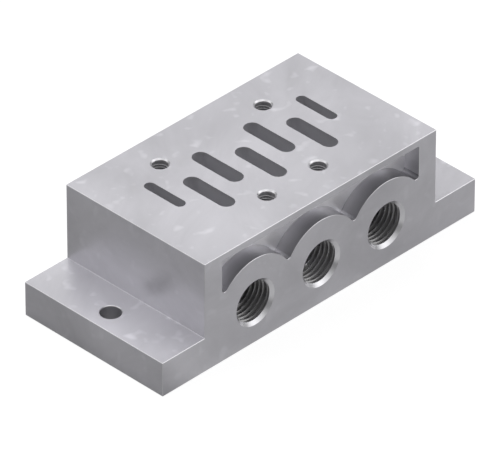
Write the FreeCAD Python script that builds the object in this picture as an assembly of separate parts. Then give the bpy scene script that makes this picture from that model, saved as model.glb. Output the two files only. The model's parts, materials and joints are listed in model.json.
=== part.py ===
import FreeCAD, Part
import math
import os

from FreeCAD import Vector

# One-piece subbase for a size 1 pneumatic valve with a standard slotted interface.
# It lies along X, with its three air ports towards -Y and the valve's seat on top.
# The origin is the middle of the underside. All sizes are in millimetres.

# Bar: a raised block between two low flanges, one section from front to back.
overall_length = 110.0
body_width = 48.0
block_length = 81.0
block_height = 32.0
flange_height = 10.0
foot_radius = 0.1
edge_break = 0.1

# Plain holes in the flanges, set in from the ends, for the screws that hold the subbase down.
flange_hole_inset = 6.0
flange_hole_radius = 2.75
flange_rim_break = 0.15

# Valve seat: three air slots in the front row, two between them in the back row.
slot_pitch = 18.0
slot_width = 4.5
slot_length = 16.3
front_row_y = -3.0
back_row_y = 3.0

# Pilot slots, one outside each end of the rows.
pilot_slot_spacing = 53.0
pilot_slot_width = 3.0
pilot_slot_length = 13.3
pilot_slot_depth = 11.5
pilot_slot_y = 3.8

# Four M5 holes for the valve's screws, closer together at the front.
screw_rows_apart = 28.0
front_screw_spacing = 18.0
back_screw_spacing = 36.0
screw_drill_radius = 2.1
screw_rim_radius = 2.5
screw_hole_depth = 13.0

# Air ports, G1/4: three in the front face and two in the back face, all at one height.
port_axis_height = 11.8
port_drill_radius = 5.7225
port_rim_radius = 6.6
port_tap_depth = 12.0
front_port_pitch = 23.0
back_port_spacing = 23.0

# Drilled passages that carry on from the air ports to the slots.
centre_passage_radius = 4.0
outer_passage_radius = 5.0
back_passage_radius = 5.0
front_passage_depth = 25.0
back_passage_depth = 17.0

# Pilot ports, G1/8, in the back face, each with a passage and a cross drilling up to its slot.
pilot_port_spacing = 56.0
pilot_drill_radius = 4.283
pilot_rim_radius = 4.95
pilot_tap_depth = 10.0
pilot_passage_radius = 2.5
pilot_passage_depth = 16.5
cross_drill_radius = 1.25

# Pocket above the front ports. Its lower edge follows a round boss about each port.
boss_radius = 13.2
pocket_end_reach = 11.5
pocket_depth = 5.0
pocket_top_wall = 2.0
pocket_valley_radius = 1.0
pocket_corner_radius = 0.5
pocket_floor_radius = 0.1
pocket_rim_break = 0.08

# A twist drill leaves a cone of this half angle at the end of its hole.
drill_half_angle = 59.0

# Cutting shapes stand this far out of the face that they cut.
overshoot = 1.0

# Points nearer than this count as the same place.
same_place = 1e-6

front_y = -body_width / 2
back_y = body_width / 2
slot_floor = port_axis_height
sides = (-1, 1)
columns = (-1, 0, 1)


def bar():
    """The bar with its foot corners rounded and its outer edges broken."""
    low, high = overall_length / 2, block_length / 2
    right_half = [
        Vector(low, front_y, 0),
        Vector(low, front_y, flange_height),
        Vector(high, front_y, flange_height),
        Vector(high, front_y, block_height),
    ]
    left_half = [Vector(-point.x, point.y, point.z) for point in reversed(right_half)]
    section = Part.makePolygon(right_half + left_half + right_half[:1])
    solid = Part.Face(section).extrude(Vector(0, body_width, 0))
    feet = [edge for edge in along_y(solid) if is_near_foot(edge, same_place)]
    solid = solid.makeFillet(foot_radius, feet)
    seams = [edge for edge in along_y(solid) if is_near_foot(edge, foot_radius + same_place)]
    outer = [edge for edge in solid.Edges if not any(edge.isSame(seam) for seam in seams)]
    return solid.makeChamfer(edge_break, outer)


def along_y(solid):
    """The straight edges of a solid that run from front to back."""
    runs = [(edge, edge.Vertexes[0].Point - edge.Vertexes[-1].Point) for edge in solid.Edges]
    return [edge for edge, run in runs if abs(run.x) + abs(run.z) < same_place < abs(run.y)]


def is_near_foot(edge, reach):
    """Does this edge lie within reach of the corner where the block stands on a flange?"""
    middle = edge.BoundBox.Center
    beside_block = abs(abs(middle.x) - block_length / 2) < reach
    return beside_block and abs(middle.z - flange_height) < reach


def drilled_hole(mouth, direction, rim_radius, steps):
    """A hole drilled from mouth along direction, with a 45 degree rim.

    Each step is a radius and how deep it goes, and ends in the drill's cone.
    """
    slope = 1 / math.tan(math.radians(drill_half_angle))
    first_radius = steps[0][0]
    profile = [
        Vector(0, 0, overshoot),
        Vector(rim_radius + overshoot, 0, overshoot),
        Vector(first_radius, 0, first_radius - rim_radius),
    ]
    next_radii = [radius for radius, _ in steps[1:]] + [0.0]
    for (radius, depth), next_radius in zip(steps, next_radii):
        profile.append(Vector(radius, 0, -depth))
        profile.append(Vector(next_radius, 0, -depth - (radius - next_radius) * slope))
    outline = Part.makePolygon(profile + profile[:1])
    hole = Part.Face(outline).revolve(Vector(0, 0, 0), Vector(0, 0, 1), 360)
    turn = FreeCAD.Rotation(Vector(0, 0, -1), direction)
    hole.Placement = FreeCAD.Placement(mouth, turn)
    return hole


def flange_hole(x):
    """A plain hole through a flange, with both its rims broken at 45 degrees."""
    wall, reach = flange_hole_radius, flange_rim_break + overshoot
    profile = [
        Vector(x, 0, -overshoot),
        Vector(x + wall + reach, 0, -overshoot),
        Vector(x + wall, 0, flange_rim_break),
        Vector(x + wall, 0, flange_height - flange_rim_break),
        Vector(x + wall + reach, 0, flange_height + overshoot),
        Vector(x, 0, flange_height + overshoot),
    ]
    outline = Part.makePolygon(profile + profile[:1])
    return Part.Face(outline).revolve(Vector(x, 0, 0), Vector(0, 0, 1), 360)


def seat_slot(x, y, width, length, floor):
    """A slot with round ends, its long side from front to back, open at the seat."""
    radius = width / 2
    reach = length / 2 - radius
    left_front = Vector(x - radius, y - reach, floor)
    right_front = Vector(x + radius, y - reach, floor)
    left_back = Vector(x - radius, y + reach, floor)
    right_back = Vector(x + radius, y + reach, floor)
    front_end = Part.Arc(left_front, Vector(x, y - length / 2, floor), right_front)
    back_end = Part.Arc(right_back, Vector(x, y + length / 2, floor), left_back)
    outline = [
        front_end.toShape(),
        Part.LineSegment(right_front, right_back).toShape(),
        back_end.toShape(),
        Part.LineSegment(left_back, left_front).toShape(),
    ]
    height = block_height + overshoot - floor
    return Part.Face(Part.Wire(outline)).extrude(Vector(0, 0, height))


def air_slots():
    """The five air slots, deep enough to open into the passages from the ports."""
    places = [(column * slot_pitch, front_row_y) for column in columns]
    places += [(side * slot_pitch / 2, back_row_y) for side in sides]
    return [seat_slot(x, y, slot_width, slot_length, slot_floor) for x, y in places]


def valve_screw_holes():
    """The four screw holes about the slots."""
    rows = [(-screw_rows_apart / 2, front_screw_spacing), (screw_rows_apart / 2, back_screw_spacing)]
    steps = [(screw_drill_radius, screw_hole_depth)]
    down = Vector(0, 0, -1)
    return [
        drilled_hole(Vector(side * spacing / 2, y, block_height), down, screw_rim_radius, steps)
        for y, spacing in rows
        for side in sides
    ]


def front_ports():
    """The three front ports with their passages. The middle one narrows between the back slots."""
    holes = []
    for column in columns:
        passage_radius = outer_passage_radius if column else centre_passage_radius
        steps = [(port_drill_radius, port_tap_depth), (passage_radius, front_passage_depth)]
        mouth = Vector(column * front_port_pitch, front_y, port_axis_height)
        holes.append(drilled_hole(mouth, Vector(0, 1, 0), port_rim_radius, steps))
    return holes


def back_ports():
    """The two back ports with their passages."""
    steps = [(port_drill_radius, port_tap_depth), (back_passage_radius, back_passage_depth)]
    mouths = [Vector(side * back_port_spacing / 2, back_y, port_axis_height) for side in sides]
    return [drilled_hole(mouth, Vector(0, -1, 0), port_rim_radius, steps) for mouth in mouths]


def pilot_circuit(side):
    """One end's pilot port, its passage, the slot on the seat and the drilling that joins them."""
    port_steps = [(pilot_drill_radius, pilot_tap_depth), (pilot_passage_radius, pilot_passage_depth)]
    port_mouth = Vector(side * pilot_port_spacing / 2, back_y, port_axis_height)
    slot_x = side * pilot_slot_spacing / 2
    floor = block_height - pilot_slot_depth
    drill_y = pilot_slot_y + (pilot_slot_length - pilot_slot_width) / 2
    drill_start = Vector(slot_x, drill_y, port_axis_height)
    return [
        drilled_hole(port_mouth, Vector(0, -1, 0), pilot_rim_radius, port_steps),
        seat_slot(slot_x, pilot_slot_y, pilot_slot_width, pilot_slot_length, floor),
        Part.makeCylinder(cross_drill_radius, floor + overshoot - port_axis_height, drill_start),
    ]


def short_arc(centre, radius, first, last):
    """The shorter arc about centre, from the direction first to the direction last."""
    start_way, end_way = Vector(first).normalize(), Vector(last).normalize()
    middle_way = (start_way + end_way).normalize()
    points = [centre + way * radius for way in (start_way, middle_way, end_way)]
    return Part.Arc(*points)


def pocket_edge(y):
    """The pocket's edge in the plane at y: bosses and valleys in turn, then the walls and the top.

    A valley's centre lies a boss radius and its own radius from each boss that it touches,
    so neighbouring arcs meet on the line between their centres and run smoothly into each other.
    """
    half_length = front_port_pitch + pocket_end_reach
    top = block_height - pocket_top_wall
    to_boss = boss_radius + pocket_valley_radius

    def valley(x, beside):
        return Vector(x, y, port_axis_height + math.sqrt(to_boss**2 - beside**2))

    end_beside = pocket_end_reach - pocket_valley_radius
    end_x = half_length - pocket_valley_radius
    centres = [valley(-end_x, end_beside)]
    for column in columns:
        boss_x = column * front_port_pitch
        centres.append(Vector(boss_x, y, port_axis_height))
        if column < 1:
            centres.append(valley(boss_x + front_port_pitch / 2, front_port_pitch / 2))
    centres.append(valley(end_x, end_beside))
    radii = [pocket_valley_radius, boss_radius] * 3 + [pocket_valley_radius]

    left, right, up = Vector(-1, 0, 0), Vector(1, 0, 0), Vector(0, 0, 1)
    gaps = [after - before for before, after in zip(centres, centres[1:])]
    arrivals = [left] + [-gap for gap in gaps]
    departures = gaps + [right]
    arcs = [short_arc(*shape) for shape in zip(centres, radii, arrivals, departures)]

    corner_x, corner_z = half_length - pocket_corner_radius, top - pocket_corner_radius
    arcs.append(short_arc(Vector(corner_x, y, corner_z), pocket_corner_radius, right, up))
    arcs.append(short_arc(Vector(-corner_x, y, corner_z), pocket_corner_radius, up, left))
    edges = []
    for arc, following in zip(arcs, arcs[1:] + arcs[:1]):
        edges.append(arc.toShape())
        if arc.EndPoint.distanceToPoint(following.StartPoint) > same_place:
            edges.append(Part.LineSegment(arc.EndPoint, following.StartPoint).toShape())
    return Part.Wire(edges)


def front_pocket():
    """The pocket above the front ports, its floor joined to its walls by a small round."""
    face = Part.Face(pocket_edge(front_y - overshoot))
    pocket = face.extrude(Vector(0, pocket_depth + overshoot, 0))
    floor_y = front_y + pocket_depth
    rim = [edge for edge in pocket.Edges if edge.BoundBox.YMin > floor_y - same_place]
    return pocket.makeFillet(pocket_floor_radius, rim)


def pocketed_bar():
    """The bar with the pocket sunk into its front, and the pocket's mouth broken."""
    pocket = front_pocket()
    solid = bar().cut(pocket)
    around = pocket.BoundBox
    around.enlarge(same_place)
    in_front = [edge for edge in solid.Edges if edge.BoundBox.YMax < front_y + same_place]
    mouth = [edge for edge in in_front if around.isInside(edge.BoundBox)]
    return solid.makeChamfer(pocket_rim_break, mouth)


def subbase():
    """The whole subbase."""
    cuts = [flange_hole(side * (overall_length / 2 - flange_hole_inset)) for side in sides]
    cuts += air_slots()
    cuts += valve_screw_holes()
    cuts += front_ports()
    cuts += back_ports()
    cuts += pilot_circuit(-1)
    cuts += pilot_circuit(1)
    return pocketed_bar().cut(cuts).removeSplitter()


os.makedirs("parts", exist_ok=True)
subbase().exportStep("parts/subbase_body.step")
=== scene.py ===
"""Dresses a one-piece pneumatic valve subbase: cut threads, satin aluminium and a pale studio.

Lengths are metres in the part's own frame: X along the body, -Y towards the three air ports, Z up, with the
origin in the middle of the underside.
"""

import json
import logging
import math
from dataclasses import dataclass
from enum import Enum

import bmesh
import bpy
import numpy as np
from mathutils import Matrix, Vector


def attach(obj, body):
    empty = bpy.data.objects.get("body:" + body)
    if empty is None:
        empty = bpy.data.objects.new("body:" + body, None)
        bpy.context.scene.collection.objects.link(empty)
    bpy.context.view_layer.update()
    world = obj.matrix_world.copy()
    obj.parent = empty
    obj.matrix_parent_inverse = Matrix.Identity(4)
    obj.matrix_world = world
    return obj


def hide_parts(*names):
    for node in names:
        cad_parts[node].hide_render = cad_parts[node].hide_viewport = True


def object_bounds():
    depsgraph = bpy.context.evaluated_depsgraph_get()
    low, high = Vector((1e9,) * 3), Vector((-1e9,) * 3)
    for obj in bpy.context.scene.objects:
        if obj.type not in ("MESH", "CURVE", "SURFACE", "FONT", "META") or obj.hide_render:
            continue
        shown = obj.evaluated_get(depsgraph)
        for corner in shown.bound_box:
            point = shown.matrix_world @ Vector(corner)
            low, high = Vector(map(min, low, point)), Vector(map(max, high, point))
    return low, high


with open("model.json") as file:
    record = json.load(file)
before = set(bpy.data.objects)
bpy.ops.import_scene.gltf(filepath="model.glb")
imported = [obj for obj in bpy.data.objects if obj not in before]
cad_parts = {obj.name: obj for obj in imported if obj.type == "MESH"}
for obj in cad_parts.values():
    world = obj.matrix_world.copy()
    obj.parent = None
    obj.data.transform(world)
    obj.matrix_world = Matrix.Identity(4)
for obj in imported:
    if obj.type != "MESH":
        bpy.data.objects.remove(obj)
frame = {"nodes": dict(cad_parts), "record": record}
cad_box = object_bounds()

BODY_NODE = "subbase_body"
MM = 0.001
DOWN = np.array([0.0, 0.0, -1.0])

log = logging.getLogger("subbase")

Triple = tuple[float, float, float]
SocketValue = bpy.types.NodeSocket | float | tuple[float, ...]


@dataclass(frozen=True)
class ThreadForm:
    """Section of a tapped thread.

    Attributes:
        pitch: Advance in one turn.
        minor_radius: Radius of the tap drill's bore, which the crests keep.
        major_radius: Radius of the groove's root.
        flank_angle: Angle between a flank and the plane square to the axis, in degrees.
        root_share: Width of the root's flat as a share of the pitch.
    """

    pitch: float
    minor_radius: float
    major_radius: float
    flank_angle: float
    root_share: float


class Thread(Enum):
    """The three threads that the subbase is tapped with."""

    PORT = ThreadForm(1.337 * MM, 5.7225 * MM, 6.5785 * MM, 27.5, 1 / 6)
    PILOT = ThreadForm(0.907 * MM, 4.283 * MM, 4.864 * MM, 27.5, 1 / 6)
    SCREW = ThreadForm(0.8 * MM, 2.1 * MM, 2.5 * MM, 30.0, 1 / 8)


@dataclass
class DrilledHole:
    """A straight drilled hole.

    Attributes:
        name: The hole's name, for the log.
        mouth: Centre of the hole where it meets the face.
        inward: Unit direction along the axis into the metal.
        rim_depth: How deep its broken rim goes.
        radius: Radius of its wall.
        depth: How deep its wall, or its full and fading thread, goes from the face.
    """

    name: str
    mouth: np.ndarray
    inward: np.ndarray
    rim_depth: float
    radius: float
    depth: float

    def depth_and_radius(self, points: np.ndarray) -> tuple[np.ndarray, np.ndarray]:
        """Measures points against the hole.

        In words: a point's depth is its offset from the mouth along the axis, and its radius is the length
        of what is left of the offset.

        Args:
            points: One row for each point.

        Returns:
            The depths and the radii.
        """
        offsets = points - self.mouth
        depths = offsets @ self.inward
        return depths, np.linalg.norm(offsets - depths[:, None] * self.inward, axis=1)


@dataclass
class TappedHole(DrilledHole):
    """A drilled hole with a thread, which is a helical groove in its wall.

    Attributes:
        thread: Which thread it is.
        start_below_rim: How many turns below the rim the groove's middle starts.
        lead_in_turns: Over how many turns the groove deepens from there.
        run_out_turns: Over how many turns it fades at its inner end.
        steps_per_turn: How many sections of the groove make one turn.
        bore_clearance: How far the cutter's inner side stands inside the bore, as a share of the pitch.
        faded_height: What is left of the cutter's radial height at its ends.
    """

    thread: Thread
    start_below_rim: float = 0.1
    lead_in_turns: float = 0.6
    run_out_turns: float = 1.5
    steps_per_turn: int = 48
    bore_clearance: float = 0.08
    faded_height: float = 0.01 * MM

    def axes(self) -> np.ndarray:
        """Gives a right-handed frame for the hole.

        Returns:
            Three rows: across, square to it, and inward.
        """
        helper = np.array([1.0, 0.0, 0.0])
        square = np.cross(self.inward, helper)
        square /= np.linalg.norm(square)
        return np.array([np.cross(square, self.inward), square, self.inward])

    def groove_sections(self) -> tuple[np.ndarray, np.ndarray, np.ndarray]:
        """Works out the groove's section at each step of its helix.

        In words: at turn t the section's middle lies pitch * t along the axis, from a little below the
        broken rim on. Its inner side lies at a radius a little inside the bore. Its outer side's radius m
        rises from there to the major radius over the lead-in, and sinks back over the run-out. Its half
        width at radius r is half the root's flat plus (m - r) * tan(flank angle).

        Returns:
            The turns, the radii and the axial places, the last two with a column for each of four corners.
        """
        form = self.thread.value
        first_turn = self.rim_depth / form.pitch + self.start_below_rim
        last_turn = self.depth / form.pitch - form.root_share
        count = round((last_turn - first_turn) * self.steps_per_turn)
        turns = np.linspace(first_turn, last_turn, count)
        inner = form.minor_radius - self.bore_clearance * form.pitch
        risen = (turns - first_turn) / self.lead_in_turns
        left = (last_turn - turns) / self.run_out_turns
        fade = np.clip(np.minimum(risen, left), 0.0, 1.0)
        outer = inner + self.faded_height + (form.major_radius - inner - self.faded_height) * fade
        root_half = form.root_share * form.pitch / 2
        inner_half = root_half + (outer - inner) * math.tan(math.radians(form.flank_angle))
        bore_side = np.full(count, inner)
        radii = np.stack([bore_side, outer, outer, bore_side], axis=1)
        middles = form.pitch * turns
        root = np.full(count, root_half)
        places = middles[:, None] + np.stack([-inner_half, -root, root, inner_half], axis=1)
        return turns, radii, places

    def groove(self) -> tuple[np.ndarray, np.ndarray]:
        """Builds the groove's closed cutter, a section of four corners carried along a right-hand helix.

        In words: a corner at radius r and place h on turn t is mouth + r * (cos(a) across + sin(a) square) +
        h * inward, where a is 2 pi t.

        Returns:
            The points, and the quads that index them.
        """
        turns, radii, places = self.groove_sections()
        across, square, inward = self.axes()
        angle = 2 * np.pi * turns[:, None, None]
        ring = np.cos(angle) * across + np.sin(angle) * square
        points = self.mouth + radii[:, :, None] * ring + places[:, :, None] * inward
        last_section = len(turns) - 1
        corners = radii.shape[1]
        corner = np.arange(corners)
        section = corners * np.arange(last_section)[:, None]
        first = section + corner
        beside = section + np.roll(corner, -1)
        sides = np.stack([first, beside, beside + corners, first + corners], axis=2).reshape(-1, 4)
        caps = np.array([corner[::-1], corners * last_section + corner])
        return facing_out(points.reshape(-1, 3), np.concatenate([sides, caps]))


def facing_out(points: np.ndarray, quads: np.ndarray) -> tuple[np.ndarray, np.ndarray]:
    """Turns a closed shell's quads so that they face outwards.

    In words: the shell's volume is a sixth of the sum, over its triangles, of a . (b x c), and is negative
    where the faces look inwards.

    Args:
        points: The shell's points.
        quads: Four indices for each face.

    Returns:
        The points as they were, and the quads, turned round if they faced inwards.
    """
    triangles = np.concatenate([quads[:, [0, 1, 2]], quads[:, [0, 2, 3]]])
    a, b, c = np.moveaxis(points[triangles], 1, 0)
    volume = np.einsum("ij,ij->i", a, np.cross(b, c)).sum() / 6
    return points, quads if volume > 0 else quads[:, ::-1]


@dataclass
class Holes:
    """The tapped holes and the flanges' plain ones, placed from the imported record's mounts.

    Attributes:
        record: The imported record.
        seat_height: Height of the valve seat.
        front_y: Where the front face lies.
        back_y: Where the back face lies.
        flange_height: Height of the flanges' tops.
        flange_rim_depth: How deep the broken rims of the flanges' holes go.
        port_depth: Depth of the thread in an air port.
        pilot_depth: Depth of the thread in a pilot port.
        screw_depth: Depth of the thread in a screw hole.
        screw_start_below_rim: How many turns below its rim a screw hole's groove starts.
    """

    record: dict
    seat_height: float
    front_y: float
    back_y: float
    flange_height: float = 10.0 * MM
    flange_rim_depth: float = 0.15 * MM
    port_depth: float = 12.0 * MM
    pilot_depth: float = 10.0 * MM
    screw_depth: float = 10.0 * MM
    screw_start_below_rim: float = 0.5

    def mounts(self, kind: str, word: str) -> list[dict]:
        """Picks mounts of one kind whose name holds a word."""
        return [mount for mount in self.record["mounts"] if mount["kind"] == kind and word in mount["name"]]

    def side_hole(self, mount: dict, thread: Thread, depth: float) -> TappedHole:
        """Places a hole in the front or back face.

        Args:
            mount: The hole's mount, whose axis points out of the metal.
            thread: Which thread it is.
            depth: The thread's depth.

        Returns:
            The tapped hole.
        """
        outward = np.array(mount["axis"], float)
        x, wall_y, z = mount["pos_m"]
        face_y = self.back_y if outward[1] > 0 else self.front_y
        mouth = np.array([x, face_y, z])
        rim_depth = abs(face_y - wall_y) - mount["dims"]["length_mm"] * MM / 2
        bore = thread.value.minor_radius
        return TappedHole(mount["name"], mouth, -outward, rim_depth, bore, depth, thread)

    def mouths(self, row: dict, height: float) -> list[np.ndarray]:
        """Finds the mouths of a row of two upright holes.

        Args:
            row: The row's bolt pattern.
            height: Height of the face that they open in.

        Returns:
            The left mouth, then the right one.
        """
        middle_x, y, _ = row["pos_m"]
        half = row["dims"]["spacing_x_mm"] * MM / 2
        return [np.array([middle_x + side * half, y, height]) for side in (-1, 1)]

    def screw_holes(self, row: dict) -> list[TappedHole]:
        """Places a row of two screw holes in the seat.

        Args:
            row: The row's bolt pattern.

        Returns:
            The left hole, then the right one.
        """
        rim_depth = self.seat_height - row["pos_m"][2]
        sizes = (rim_depth, Thread.SCREW.value.minor_radius, self.screw_depth)
        return [
            TappedHole(row["name"], mouth, DOWN, *sizes, Thread.SCREW, self.screw_start_below_rim)
            for mouth in self.mouths(row, self.seat_height)
        ]

    def tapped(self) -> list[TappedHole]:
        """Lists the tapped holes.

        Returns:
            The air ports, the pilot ports and the screw holes.
        """
        ports = self.mounts("threaded_hole", "_port_")
        pilots = [mount for mount in ports if mount["name"].startswith("pilot")]
        mains = [mount for mount in ports if mount not in pilots]
        holes = [self.side_hole(mount, Thread.PORT, self.port_depth) for mount in mains]
        holes += [self.side_hole(mount, Thread.PILOT, self.pilot_depth) for mount in pilots]
        for row in self.mounts("bolt_pattern", "valve_screws"):
            holes += self.screw_holes(row)
        return holes

    def plain(self) -> list[DrilledHole]:
        """Lists the flanges' plain holes.

        Returns:
            The left hole, then the right one.
        """
        (row,) = self.mounts("bolt_pattern", "flange")
        depth = self.flange_height - self.flange_rim_depth
        sizes = (self.flange_rim_depth, row["dims"]["hole_r_mm"] * MM, depth)
        mouths = self.mouths(row, self.flange_height)
        return [DrilledHole(row["name"], mouth, DOWN, *sizes) for mouth in mouths]

    def cutter(self) -> bpy.types.Object:
        """Makes one mesh object of all the grooves' cutters.

        Returns:
            The cutter, linked to the scene.
        """
        points, quads, count = [], [], 0
        for hole in self.tapped():
            hole_points, hole_quads = hole.groove()
            points.append(hole_points)
            quads.append(hole_quads + count)
            count += len(hole_points)
            log.info("%s: %d points in its groove", hole.name, len(hole_points))
        return shell_object("thread_cutter", np.concatenate(points), np.concatenate(quads))


def shell_object(name: str, points: np.ndarray, quads: np.ndarray) -> bpy.types.Object:
    """Puts a shell of quads into a new object.

    Args:
        name: The object's name.
        points: One row for each point.
        quads: Four indices for each face.

    Returns:
        The object, linked to the scene.
    """
    mesh = bpy.data.meshes.new(name)
    mesh.vertices.add(len(points))
    mesh.vertices.foreach_set("co", points.astype(np.float32).ravel())
    mesh.loops.add(quads.size)
    mesh.loops.foreach_set("vertex_index", quads.astype(np.int32).ravel())
    mesh.polygons.add(len(quads))
    mesh.polygons.foreach_set("loop_start", 4 * np.arange(len(quads), dtype=np.int32))
    mesh.update(calc_edges=True)
    shell = bpy.data.objects.new(name, mesh)
    bpy.context.scene.collection.objects.link(shell)
    return shell


@dataclass(frozen=True)
class MetalFinish:
    """How one kind of surface on the aluminium looks.

    Attributes:
        name: The material's name.
        tone: Its colour, in linear light.
        metallic: How far it shines as clean metal, the rest of its light being spread evenly.
        roughness: Its middle roughness.
        cloud_depth: How far the soft clouds lighten and darken it.
        fleck_depth: How far the small bright flecks lighten it.
        grain_height: Height of the fine grain.
        painted_inward_shading: How far its tone falls at the mouth of a slot or of the pocket, and rises
            inside: painted shade at the mouth and painted light inside.
    """

    name: str
    tone: Triple
    metallic: float
    roughness: float
    cloud_depth: float
    fleck_depth: float = 0.0
    grain_height: float = 0.001 * MM
    # Painted shading: darker at the mouth of a slot or the pocket, lighter inside.
    painted_inward_shading: float = 0.0


class Finish(Enum):
    """The finishes of the body's surfaces, in the order of its material slots."""

    SKIN = MetalFinish(
        name="satin_skin",
        tone=(0.622, 0.615, 0.65),
        metallic=0.9,
        roughness=0.38,
        cloud_depth=0.085,
        fleck_depth=0.1,
        grain_height=0.0015 * MM,
    )
    LEVEL = MetalFinish(
        name="satin_level",
        tone=(0.617, 0.61, 0.645),
        metallic=0.9,
        roughness=0.38,
        cloud_depth=0.085,
        fleck_depth=0.25,
        grain_height=0.0015 * MM,
    )
    # Painted light: the pocket's tone is lighter than the skin's, standing in for light on its back wall
    # where the bosses shade it.
    POCKET = MetalFinish(
        name="pocket_painted_light",
        tone=(0.84, 0.835, 0.86),
        metallic=0.72,
        roughness=0.40,
        cloud_depth=0.02,
        grain_height=0.0015 * MM,
        painted_inward_shading=0.15,
    )
    # Painted shade: the bosses' tone is darker than the skin's, standing in for the shade on their walls in
    # the pocket.
    BOSS = MetalFinish(
        name="boss_painted_shade",
        tone=(0.44, 0.435, 0.46),
        metallic=0.85,
        roughness=0.34,
        cloud_depth=0.03,
        painted_inward_shading=0.25,
    )
    SLOT_WALL = MetalFinish(
        name="slot_wall",
        tone=(0.545, 0.54, 0.57),
        metallic=0.4,
        roughness=0.40,
        cloud_depth=0.03,
        grain_height=0.0015 * MM,
        painted_inward_shading=0.22,
    )
    BORE = MetalFinish(
        name="drilled_bore",
        tone=(0.62, 0.615, 0.64),
        metallic=0.9,
        roughness=0.32,
        cloud_depth=0.06,
    )
    GROOVE = MetalFinish(
        name="thread_groove",
        tone=(0.60, 0.595, 0.60),
        metallic=0.88,
        roughness=0.33,
        cloud_depth=0.06,
    )
    SCREW_HOLE = MetalFinish(
        name="tapped_screw_hole",
        tone=(0.56, 0.555, 0.575),
        metallic=0.9,
        roughness=0.55,
        cloud_depth=0.02,
    )
    # Painted highlight: broken edges and hole rims are lighter than the skin, which brightens their
    # highlight lines.
    EDGE = MetalFinish(
        name="broken_edge_painted_highlight",
        tone=(0.78, 0.775, 0.80),
        metallic=0.9,
        roughness=0.32,
        cloud_depth=0.06,
    )


@dataclass(frozen=True)
class SoftNoise:
    """A soft noise pattern.

    Attributes:
        size: How large a feature is.
        detail: How many finer layers it has.
        fineness: How strong each finer layer is, as a share of the one before.
        twist: How far the noise is distorted.
    """

    size: float
    detail: float
    fineness: float = 0.5
    twist: float = 0.0


class SocketKind(Enum):
    """Kinds of socket on a node group."""

    NUMBER = "NodeSocketFloat"
    COLOUR = "NodeSocketColor"


@dataclass
class NodeBoard:
    """Adds and joins nodes in one node tree, from left to right."""

    tree: bpy.types.NodeTree
    column: int = 0
    column_width: int = 200

    def add(
        self, kind: str, inputs: dict[str | int, SocketValue] | None = None, **settings: object
    ) -> bpy.types.Node:
        """Adds a node.

        Args:
            kind: The node's class name.
            inputs: The output or the fixed value that each input takes, by the input's name or place.
            settings: Attributes to set on the node.

        Returns:
            The new node.
        """
        node = self.tree.nodes.new(kind)
        node.location = (self.column * self.column_width, 0)
        self.column += 1
        for name, setting in settings.items():
            setattr(node, name, setting)
        for name, value in (inputs or {}).items():
            if isinstance(value, bpy.types.NodeSocket):
                self.tree.links.new(value, node.inputs[name])
            else:
                node.inputs[name].default_value = value
        return node

    def noise(self, place: bpy.types.NodeSocket, pattern: SoftNoise) -> bpy.types.NodeSocket:
        """Adds a noise pattern.

        Args:
            place: The socket that gives the place.
            pattern: The pattern.

        Returns:
            The noise value, from 0 to 1.
        """
        node = self.add(
            "ShaderNodeTexNoise",
            {
                "Vector": place,
                "Scale": 1 / pattern.size,
                "Detail": pattern.detail,
                "Roughness": pattern.fineness,
                "Distortion": pattern.twist,
            },
        )
        return node.outputs["Fac"]

    def drawn_out(
        self, place: bpy.types.NodeSocket, start: Triple, turn: float = 0.0, stretch: float = 1.0
    ) -> bpy.types.NodeSocket:
        """Adds a mapping that shifts a pattern and draws it out along one level direction.

        Args:
            place: The socket that gives the place.
            start: Where the pattern's own origin lies.
            turn: The direction, in degrees from X towards Y.
            stretch: How many times longer the pattern grows.

        Returns:
            The mapped place.
        """
        node = self.add(
            "ShaderNodeMapping",
            {
                "Vector": place,
                "Location": start,
                "Rotation": (0.0, 0.0, math.radians(turn)),
                "Scale": (stretch, 1.0, 1.0),
            },
            vector_type="TEXTURE",
        )
        return node.outputs["Vector"]

    def spread(
        self,
        value: bpy.types.NodeSocket,
        start: tuple[float, float],
        end: tuple[bpy.types.NodeSocket | float, float],
    ) -> bpy.types.NodeSocket:
        """Carries one range over to another, and holds its ends outside it.

        Args:
            value: The socket to carry over.
            start: The range that it comes from.
            end: The range that it goes to.

        Returns:
            The result.
        """
        names = ("Value", "From Min", "From Max", "To Min", "To Max")
        node = self.add("ShaderNodeMapRange", dict(zip(names, (value, *start, *end))))
        return node.outputs["Result"]

    def math(self, operation: str, *values: bpy.types.NodeSocket | float) -> bpy.types.NodeSocket:
        """Adds a sum on one to three sockets or numbers."""
        return self.add("ShaderNodeMath", dict(enumerate(values)), operation=operation).outputs["Value"]


def empty_board(owner: bpy.types.Material | bpy.types.World) -> NodeBoard:
    """Gives a material or a world an empty node tree.

    Args:
        owner: The material or the world.

    Returns:
        A board on its node tree.
    """
    owner.use_nodes = True
    owner.node_tree.nodes.clear()
    return NodeBoard(owner.node_tree)


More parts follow.
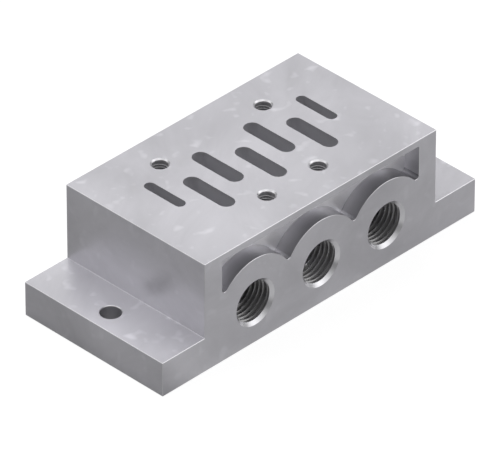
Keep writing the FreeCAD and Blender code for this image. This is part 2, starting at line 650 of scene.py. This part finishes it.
@dataclass
class SatinMetal:
    """The shared effect of tumbled and machined aluminium.

    A slow drift and soft slanting clouds vary the tone, the clouds vary the roughness too, scattered flecks
    lighten it, and a fine grain gives the height for a bump. Painted shading may also make the tone rise
    inwards, from the seat down and from the front face back: painted shade at the mouths of the slots and
    the pocket, painted light inside them.

    Attributes:
        seat_height: Height of the valve seat.
        front_y: Where the front face lies.
        drift: The slow drift.
        drift_start: Where the drift's own origin lies.
        cloud: The clouds.
        cloud_start: Where the clouds' own origin lies.
        cloud_turn: The level direction that the clouds are drawn out along, in degrees from X towards Y.
        cloud_stretch: How many times longer they are that way.
        swing_range: From where to where in the drift and the clouds the tone goes from darkest to lightest.
        drift_share: How strong the drift's swing is beside the clouds'.
        patches: The noise whose peaks are the flecks.
        fleck_range: From where to where in that noise a fleck grows to its full strength.
        grain: The fine grain.
        roughness_swing: How far the clouds raise and lower the roughness.
        painted_shading_reach: How far below the seat or behind the front face the painted inward shading has
            risen fully.
    """

    seat_height: float
    front_y: float
    drift: SoftNoise = SoftNoise(32.4 * MM, detail=1.0)
    drift_start: Triple = (-34.2 * MM, -343.1 * MM, 66.2 * MM)
    cloud: SoftNoise = SoftNoise(17.4 * MM, detail=4.0, fineness=0.68, twist=0.5)
    cloud_start: Triple = (9.7 * MM, 277.0 * MM, 21.0 * MM)
    cloud_turn: float = 35.5
    cloud_stretch: float = 2.08
    swing_range: tuple[float, float] = (0.3, 0.7)
    drift_share: float = 0.9
    patches: SoftNoise = SoftNoise(4.0 * MM, detail=1.0, twist=0.2)
    fleck_range: tuple[float, float] = (0.61, 0.8)
    grain: SoftNoise = SoftNoise(0.25 * MM, detail=2.0)
    roughness_swing: float = 0.03
    painted_shading_reach: float = 4.0 * MM

    def named_tree(self) -> bpy.types.NodeTree:
        """Makes the node group with its named inputs and outputs.

        Returns:
            The node group, with nothing in it yet.
        """
        tree = bpy.data.node_groups.new("satin_metal", "ShaderNodeTree")
        sides = {
            "INPUT": {
                "Tone": SocketKind.COLOUR,
                "Cloud Depth": SocketKind.NUMBER,
                "Fleck Depth": SocketKind.NUMBER,
                "Painted Inward Shading": SocketKind.NUMBER,
                "Middle Roughness": SocketKind.NUMBER,
            },
            "OUTPUT": {
                "Colour": SocketKind.COLOUR,
                "Roughness": SocketKind.NUMBER,
                "Grain": SocketKind.NUMBER,
            },
        }
        for side, sockets in sides.items():
            for name, kind in sockets.items():
                tree.interface.new_socket(name, in_out=side, socket_type=kind.value)
        return tree

    def inward(self, board: NodeBoard, place: bpy.types.NodeSocket) -> bpy.types.NodeSocket:
        """Adds how far inside a slot or the pocket a place lies.

        In words: the value goes from -1 to 1 over the reach, once from the seat down and once from the front
        face back, and the smaller of the two holds. It sets where the painted inward shading falls.

        Args:
            board: The board to add to.
            place: The socket that gives the place.

        Returns:
            The value, from -1 at the mouth to 1 inside.
        """
        apart = board.add("ShaderNodeSeparateXYZ", {"Vector": place}).outputs
        full_sunk = self.seat_height - self.painted_shading_reach
        full_back = self.front_y + self.painted_shading_reach
        sunk = board.spread(apart["Z"], (self.seat_height, full_sunk), (-1.0, 1.0))
        back = board.spread(apart["Y"], (self.front_y, full_back), (-1.0, 1.0))
        return board.math("MINIMUM", sunk, back)

    def build(self) -> bpy.types.NodeTree:
        """Builds the effect.

        In words: the level is 1, plus the cloud depth times the sum of the clouds' and the drift's swings,
        plus the fleck depth times the flecks, plus the painted inward shading times how far inside the place
        lies, which paints shade at the mouths and light inside. The colour is the tone times the level.

        Returns:
            The node group.
        """
        tree = self.named_tree()
        board = NodeBoard(tree)
        given = board.add("NodeGroupInput").outputs
        place = board.add("ShaderNodeTexCoord").outputs["Object"]

        drift = board.noise(board.drawn_out(place, self.drift_start), self.drift)
        drift_swing = board.spread(drift, self.swing_range, (-self.drift_share, self.drift_share))
        cloud_place = board.drawn_out(place, self.cloud_start, self.cloud_turn, self.cloud_stretch)
        cloud_swing = board.spread(board.noise(cloud_place, self.cloud), self.swing_range, (-1.0, 1.0))
        flecks = board.spread(board.noise(place, self.patches), self.fleck_range, (0.0, 1.0))
        # How far inside a place lies, for the painted shade at the mouths and the painted light inside.
        inward = self.inward(board, place)

        swing = board.math("ADD", cloud_swing, drift_swing)
        cloudy = board.math("MULTIPLY_ADD", swing, given["Cloud Depth"], 1.0)
        flecked = board.math("MULTIPLY_ADD", flecks, given["Fleck Depth"], cloudy)
        # Painted shading: the tone falls at the mouths of the slots and the pocket and rises inside.
        level = board.math("MULTIPLY_ADD", inward, given["Painted Inward Shading"], flecked)
        tinted = board.add("ShaderNodeVectorMath", {0: given["Tone"], "Scale": level}, operation="SCALE")
        rough = board.math("MULTIPLY_ADD", cloud_swing, self.roughness_swing, given["Middle Roughness"])
        grain = board.noise(place, self.grain)
        results = {"Colour": tinted.outputs["Vector"], "Roughness": rough, "Grain": grain}
        board.add("NodeGroupOutput", results)
        return tree


@dataclass
class Aluminium:
    """Makes the materials of the finishes from the shared effect."""

    effect: bpy.types.NodeTree

    def material(self, finish: MetalFinish) -> bpy.types.Material:
        """Makes one finish.

        Args:
            finish: What it looks like.

        Returns:
            The material.
        """
        colour = (*finish.tone, 1.0)
        material = bpy.data.materials.new(finish.name)
        material.diffuse_color = colour
        board = empty_board(material)
        effect = board.add(
            "ShaderNodeGroup",
            {
                "Tone": colour,
                "Cloud Depth": finish.cloud_depth,
                "Fleck Depth": finish.fleck_depth,
                "Painted Inward Shading": finish.painted_inward_shading,
                "Middle Roughness": finish.roughness,
            },
            node_tree=self.effect,
        ).outputs
        bump = board.add("ShaderNodeBump", {"Distance": finish.grain_height, "Height": effect["Grain"]})
        shader = board.add(
            "ShaderNodeBsdfPrincipled",
            {
                "Base Color": effect["Colour"],
                "Metallic": finish.metallic,
                "Roughness": effect["Roughness"],
                "Normal": bump.outputs["Normal"],
            },
        )
        board.add("ShaderNodeOutputMaterial", {"Surface": shader.outputs["BSDF"]})
        return material


@dataclass
class SubbaseBody:
    """The machined body, dressed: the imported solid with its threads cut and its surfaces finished.

    Attributes:
        node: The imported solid.
        holes: Its drilled and tapped holes.
        block_reach: Half the raised block's length.
        merge_distance: Points nearer than this are one point.
        smooth_angle: Faces that meet at less than this angle, in degrees, shade as one smooth surface.
        skin_depth: Surface nearer than this to the outer form is never a wall of a slot.
        pocket_reach: The front pocket goes this deep. What lies deeper is drilled.
        slot_reach: The slots lie between this far in front of the middle and this far behind it.
        slot_low: Slot walls lie above this height, and the passages below it.
        wall_margin: Surface this far outside a bore's wall still belongs to the wall.
        flat_share: A face of the outer form that looks less squarely along an axis is a broken edge.
        upward_share: A face in the pocket that looks up more squarely than this belongs to a boss.
        dressed_name: The dressed body's name.
    """

    node: bpy.types.Object
    holes: Holes
    block_reach: float = 40.5 * MM
    merge_distance: float = 0.001 * MM
    smooth_angle: float = 30.0
    skin_depth: float = 0.3 * MM
    pocket_reach: float = 5.1 * MM
    slot_reach: float = 11.3 * MM
    slot_low: float = 17.5 * MM
    wall_margin: float = 0.02 * MM
    flat_share: float = 0.95
    upward_share: float = 0.1
    dressed_name: str = "subbase_dressed"

    def merged_copy(self) -> bpy.types.Object:
        """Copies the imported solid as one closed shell.

        Its loose triangles are merged, and the normals that were stored with them are dropped.

        Returns:
            The copy, linked to the scene.
        """
        mesh = bpy.data.meshes.new(self.dressed_name)
        shell = bmesh.new()
        shell.from_mesh(self.node.data)
        bmesh.ops.remove_doubles(shell, verts=shell.verts, dist=self.merge_distance)
        shell.to_mesh(mesh)
        shell.free()
        mesh.attributes.remove(mesh.attributes["custom_normal"])
        body = bpy.data.objects.new(self.dressed_name, mesh)
        bpy.context.scene.collection.objects.link(body)
        return body

    def cut(self, body: bpy.types.Object, cutter: bpy.types.Object) -> None:
        """Cuts the grooves out of the body and removes the cutter.

        Args:
            body: The body, whose mesh is replaced by the cut one.
            cutter: The grooves' cutters in one object.
        """
        difference = body.modifiers.new("threads", "BOOLEAN")
        difference.operation = "DIFFERENCE"
        difference.solver = "MANIFOLD"
        difference.object = cutter
        evaluated = body.evaluated_get(bpy.context.evaluated_depsgraph_get())
        whole = body.data
        body.data = bpy.data.meshes.new_from_object(evaluated)
        body.modifiers.clear()
        bpy.data.meshes.remove(whole)
        bpy.data.objects.remove(cutter)

    def depth_below_skin(self, points: np.ndarray) -> np.ndarray:
        """Measures how deep points lie inside the body's outer form.

        In words: the outer form is two boxes, the block and the flanged foot. In a box the depth is the
        smallest distance to its six sides, and in the whole form it is the larger of the two boxes' depths.

        Args:
            points: One row for each point.

        Returns:
            One depth for each point.
        """
        low, high = (np.array(corner) for corner in cad_box)
        block = np.array([low, high])
        block[:, 0] = -self.block_reach, self.block_reach
        foot = np.array([low, high])
        foot[1, 2] = self.holes.flange_height
        depths = [np.minimum(points - box[0], box[1] - points).min(axis=1) for box in (block, foot)]
        return np.maximum(*depths)

    def sorted_surfaces(self, points: np.ndarray, normals: np.ndarray) -> np.ndarray:
        """Sorts points on the surface by the finish that they have.

        In words: what lies deeper than the pocket is drilled. The slots' walls lie inside, in the middle of
        the seat and above the passages. The pocket's walls lie inside too, near the front, and those that
        look up are its bosses. What lies just under the outer form and looks along none of its axes is a
        broken edge, and so is a hole's rim. Below its rim a hole's wall is drilled, and what stands back
        from the wall is its thread's groove, but the seat's fine screw holes have one finish throughout.
        Everything else is skin, and has a finish of its own where it looks straight up.

        Args:
            points: One row for each point.
            normals: The surface's unit normal at each point.

        Returns:
            The place in Finish for each point.
        """
        order = list(Finish)
        depths = self.depth_below_skin(points)
        kinds = np.full(len(points), order.index(Finish.SKIN))
        kinds[normals[:, 2] > self.flat_share] = order.index(Finish.LEVEL)
        kinds[depths > self.pocket_reach] = order.index(Finish.BORE)
        over_passages = (np.abs(points[:, 1]) < self.slot_reach) & (points[:, 2] > self.slot_low)
        kinds[over_passages & (depths > self.skin_depth)] = order.index(Finish.SLOT_WALL)
        slanted = np.abs(normals).max(axis=1) < self.flat_share
        in_pocket = (points[:, 1] < self.holes.front_y + self.pocket_reach) & (depths > self.skin_depth)
        # The pocket's faces get the lighter tone of painted light.
        kinds[in_pocket] = order.index(Finish.POCKET)
        # The bosses get the darker tone of painted shade.
        kinds[in_pocket & (normals[:, 2] > self.upward_share)] = order.index(Finish.BOSS)
        # Broken edges get the lighter tone of a painted highlight.
        kinds[slanted & (depths > 0) & (depths < self.skin_depth)] = order.index(Finish.EDGE)
        for hole in self.holes.tapped() + self.holes.plain():
            sunk, radii = hole.depth_and_radius(points)
            wall = radii < hole.radius + self.wall_margin
            rim = ~wall & (sunk > 0) & (sunk < hole.rim_depth) & (radii < hole.radius + hole.rim_depth)
            # Hole rims get the lighter tone of a painted highlight too.
            kinds[rim & slanted] = order.index(Finish.EDGE)
            below_rim = (sunk > hole.rim_depth) & (sunk < hole.depth)
            kinds[below_rim & wall] = order.index(Finish.BORE)
            if isinstance(hole, TappedHole):
                groove = ~wall & (radii < hole.thread.value.major_radius + self.wall_margin)
                kinds[below_rim & groove] = order.index(Finish.GROOVE)
                if hole.thread is Thread.SCREW:
                    kinds[below_rim & (wall | groove)] = order.index(Finish.SCREW_HOLE)
        return kinds

    def finish_faces(self, mesh: bpy.types.Mesh, metal: Aluminium) -> None:
        """Gives each face its finish, and shades it smooth up to the sharp edges.

        Args:
            mesh: The cut mesh.
            metal: The maker of the materials.
        """
        mesh.materials.clear()
        for finish in Finish:
            mesh.materials.append(metal.material(finish.value))
        centres, normals = np.empty((2, 3 * len(mesh.polygons)), np.float32)
        mesh.polygons.foreach_get("center", centres)
        mesh.polygons.foreach_get("normal", normals)
        kinds = self.sorted_surfaces(centres.reshape(-1, 3), normals.reshape(-1, 3))
        mesh.polygons.foreach_set("material_index", kinds.astype(np.int32))
        for place, finish in enumerate(Finish):
            log.info("%s: %d faces", finish.value.name, int((kinds == place).sum()))
        mesh.shade_smooth()
        mesh.set_sharp_from_angle(angle=math.radians(self.smooth_angle))
        mesh.update()

    def build(self, metal: Aluminium) -> bpy.types.Object:
        """Builds the dressed body.

        Args:
            metal: The maker of its finishes.

        Returns:
            The body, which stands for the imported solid.
        """
        body = self.merged_copy()
        self.cut(body, self.holes.cutter())
        self.finish_faces(body.data, metal)
        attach(body, "root")
        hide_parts(BODY_NODE)
        return body


@dataclass(frozen=True)
class SoftGlow:
    """A soft patch of light in the sky.

    Attributes:
        azimuth: Where its middle lies, in degrees from X towards Y.
        elevation: How high its middle stands, in degrees.
        strength: How bright its middle is, beside the sky's plain tone.
    """

    azimuth: float
    elevation: float
    strength: float

    def direction(self) -> Triple:
        """Finds the direction to its middle.

        Returns:
            The unit direction.
        """
        azimuth, elevation = math.radians(self.azimuth), math.radians(self.elevation)
        level = math.cos(elevation)
        return (level * math.cos(azimuth), level * math.sin(azimuth), math.sin(elevation))


def placed(right: np.ndarray, up: np.ndarray, back: np.ndarray, place: np.ndarray) -> Matrix:
    """Makes a placement from three axes and a place.

    Args:
        right: The object's X axis.
        up: Its Y axis.
        back: Its Z axis.
        place: Where it stands.

    Returns:
        The matrix.
    """
    matrix = np.eye(4)
    matrix[:3, 0], matrix[:3, 1], matrix[:3, 2], matrix[:3, 3] = right, up, back, place
    return Matrix(matrix.tolist())


@dataclass
class Studio:
    """The pale floor and the sky with its soft glows.

    Attributes:
        floor_size: Length of the floor's side.
        floor_gap: How far the floor lies below the object.
        floor_tone: The floor's grey, for the light that it sends back to the object.
        floor_glow: How bright the floor looks to the camera by itself.
        floor_places: Where along X the floor's glow in the metal starts to rise, is brightest, and has sunk.
        floor_mirror_glow: How bright it looks by itself in the metal at those three places.
        sky_tone: The grey that the sky has for the camera, and that the glows' strengths multiply.
        glow_sharpness: How fast a glow falls off round its middle.
        glows: The glows.
    """

    floor_size: float = 12.0
    floor_gap: float = 0.02 * MM
    floor_tone: float = 0.285
    floor_glow: float = 0.82
    floor_places: tuple[float, float, float] = (-54.0 * MM, -42.0 * MM, 60.0 * MM)
    floor_mirror_glow: tuple[float, float, float] = (0.115, 0.415, 0.266)
    sky_tone: float = 0.8
    glow_sharpness: float = 14.0
    glows: tuple[SoftGlow, ...] = (
        SoftGlow(45.0, 50.0, 1.48),
        SoftGlow(90.0, 50.0, 3.3),
        SoftGlow(150.0, 28.0, 1.85),
        SoftGlow(195.0, 54.0, 0.8),
        SoftGlow(252.0, 58.0, 1.3),
        SoftGlow(225.0, 84.0, 1.5),
        SoftGlow(240.0, 18.0, 0.3),
        SoftGlow(275.0, 34.0, 0.3),
        SoftGlow(303.0, 38.0, 1.1),
        SoftGlow(330.0, 26.0, 0.75),
        SoftGlow(315.0, 20.0, 1.22),
    )

    def floor_material(self) -> bpy.types.Material:
        """Makes the floor's material: plain diffuse, with a glow that the camera and mirror rays see.

        Returns:
            The material, clear from below.
        """
        material = bpy.data.materials.new("pale_floor")
        board = empty_board(material)
        rays = board.add("ShaderNodeLightPath").outputs
        mirrored = board.math("MAXIMUM", rays["Is Glossy Ray"], rays["Is Transmission Ray"])
        seen = board.math("MULTIPLY", rays["Is Camera Ray"], self.floor_glow)
        place = board.add("ShaderNodeTexCoord").outputs["Object"]
        along = board.add("ShaderNodeSeparateXYZ", {"Vector": place}).outputs["X"]
        rising = board.spread(along, self.floor_places[:2], self.floor_mirror_glow[:2])
        sinking = board.spread(along, self.floor_places[1:], self.floor_mirror_glow[1:])
        glow = board.math("MULTIPLY_ADD", mirrored, board.math("MINIMUM", rising, sinking), seen)
        tone = (self.floor_tone, self.floor_tone, self.floor_tone, 1.0)
        diffuse = board.add("ShaderNodeBsdfDiffuse", {"Color": tone}).outputs["BSDF"]
        emission = board.add("ShaderNodeEmission", {"Strength": glow}).outputs["Emission"]
        both = board.add("ShaderNodeAddShader", {0: diffuse, 1: emission}).outputs["Shader"]
        clear = board.add("ShaderNodeBsdfTransparent").outputs["BSDF"]
        below = board.add("ShaderNodeNewGeometry").outputs["Backfacing"]
        shown = board.add("ShaderNodeMixShader", {"Fac": below, 1: both, 2: clear})
        board.add("ShaderNodeOutputMaterial", {"Surface": shown.outputs["Shader"]})
        return material

    def build_floor(self) -> None:
        """Lays the floor just below the object."""
        half = self.floor_size / 2
        corners = np.array([[-half, -half], [half, -half], [half, half], [-half, half]])
        points = np.column_stack([corners, np.full(len(corners), -self.floor_gap)])
        floor = shell_object("floor", points, np.arange(len(corners))[None, :])
        floor.data.materials.append(self.floor_material())

    def build_sky(self) -> None:
        """Sets the sky: its plain tone to the camera, and its tone times the sum of the glows to the object.

        In words: towards the unit direction d a glow whose middle lies towards m gives strength times the
        sharpness-th power of d . m, and nothing where d . m is below 0.
        """
        world = bpy.data.worlds.new("studio_sky")
        board = empty_board(world)
        seen = board.add("ShaderNodeLightPath").outputs["Is Camera Ray"]
        toward = board.add("ShaderNodeTexCoord").outputs["Generated"]
        lit = 0.0
        for glow in self.glows:
            pair = {0: toward, 1: glow.direction()}
            facing = board.add("ShaderNodeVectorMath", pair, operation="DOT_PRODUCT").outputs["Value"]
            soft = board.math("POWER", board.math("MAXIMUM", facing, 0.0), self.glow_sharpness)
            lit = board.math("MULTIPLY_ADD", soft, glow.strength, lit)
        level = board.spread(seen, (0.0, 1.0), (lit, 1.0))
        tone = (self.sky_tone, self.sky_tone, self.sky_tone, 1.0)
        background = board.add("ShaderNodeBackground", {"Color": tone, "Strength": level})
        board.add("ShaderNodeOutputWorld", {"Surface": background.outputs["Background"]})
        bpy.context.scene.world = world

    def build(self) -> None:
        """Builds everything around the object but the camera."""
        self.build_floor()
        self.build_sky()


@dataclass(frozen=True)
class StudioCamera:
    """A long lens that looks down on the object's front left corner.

    Attributes:
        azimuth: How far the camera stands round from the front, in degrees.
        elevation: How far it stands above the horizon, in degrees.
        roll: How far it is turned about its view, in degrees.
        distance: How far it stands from its aim.
        aside: How far its aim lies from the object's middle, to the right and up in the picture.
        focal_length: Focal length in millimetres, on the sensor's width.
        sensor_width: Width of the sensor in millimetres.
        sight: How many times nearer and farther than its aim it sees.
    """

    azimuth: float = -45.260
    elevation: float = 35.369
    roll: float = 0.069
    distance: float = 2.0341
    aside: tuple[float, float] = (-0.518 * MM, -3.707 * MM)
    focal_length: float = 592.61
    sensor_width: float = 36.0
    sight: float = 10.0

    def build(self, middle: np.ndarray) -> None:
        """Adds the camera and makes it the scene's.

        Args:
            middle: The middle of the object.
        """
        azimuth, elevation, roll = np.radians([self.azimuth, self.elevation, self.roll])
        level = np.cos(elevation)
        back = np.array([np.sin(azimuth) * level, -np.cos(azimuth) * level, np.sin(elevation)])
        right = np.cross([0.0, 0.0, 1.0], back)
        right /= np.linalg.norm(right)
        up = np.cross(back, right)
        turned_right = np.cos(roll) * right + np.sin(roll) * up
        turned_up = np.cos(roll) * up - np.sin(roll) * right
        aim = middle + self.aside[0] * right + self.aside[1] * up
        lens = bpy.data.cameras.new("studio_camera")
        lens.lens = self.focal_length
        lens.sensor_width = self.sensor_width
        lens.clip_start = self.distance / self.sight
        lens.clip_end = self.distance * self.sight
        camera = bpy.data.objects.new("studio_camera", lens)
        camera.matrix_world = placed(turned_right, turned_up, back, aim + back * self.distance)
        bpy.context.scene.collection.objects.link(camera)
        bpy.context.scene.camera = camera


def main() -> None:
    """Builds the dressed subbase and its studio, and reports each piece."""
    logging.basicConfig(level=logging.INFO, format="%(name)s: %(message)s")
    low, high = (np.array(corner) for corner in cad_box)
    holes = Holes(frame["record"], high[2], low[1], high[1])
    metal = Aluminium(SatinMetal(high[2], low[1]).build())
    body = SubbaseBody(frame["nodes"][BODY_NODE], holes).build(metal)
    log.info("%s: %d faces", body.name, len(body.data.polygons))
    Studio().build()
    StudioCamera().build((low + high) / 2)
    bpy.context.scene.view_settings.view_transform = "Standard"


if __name__ == "__main__":
    main()
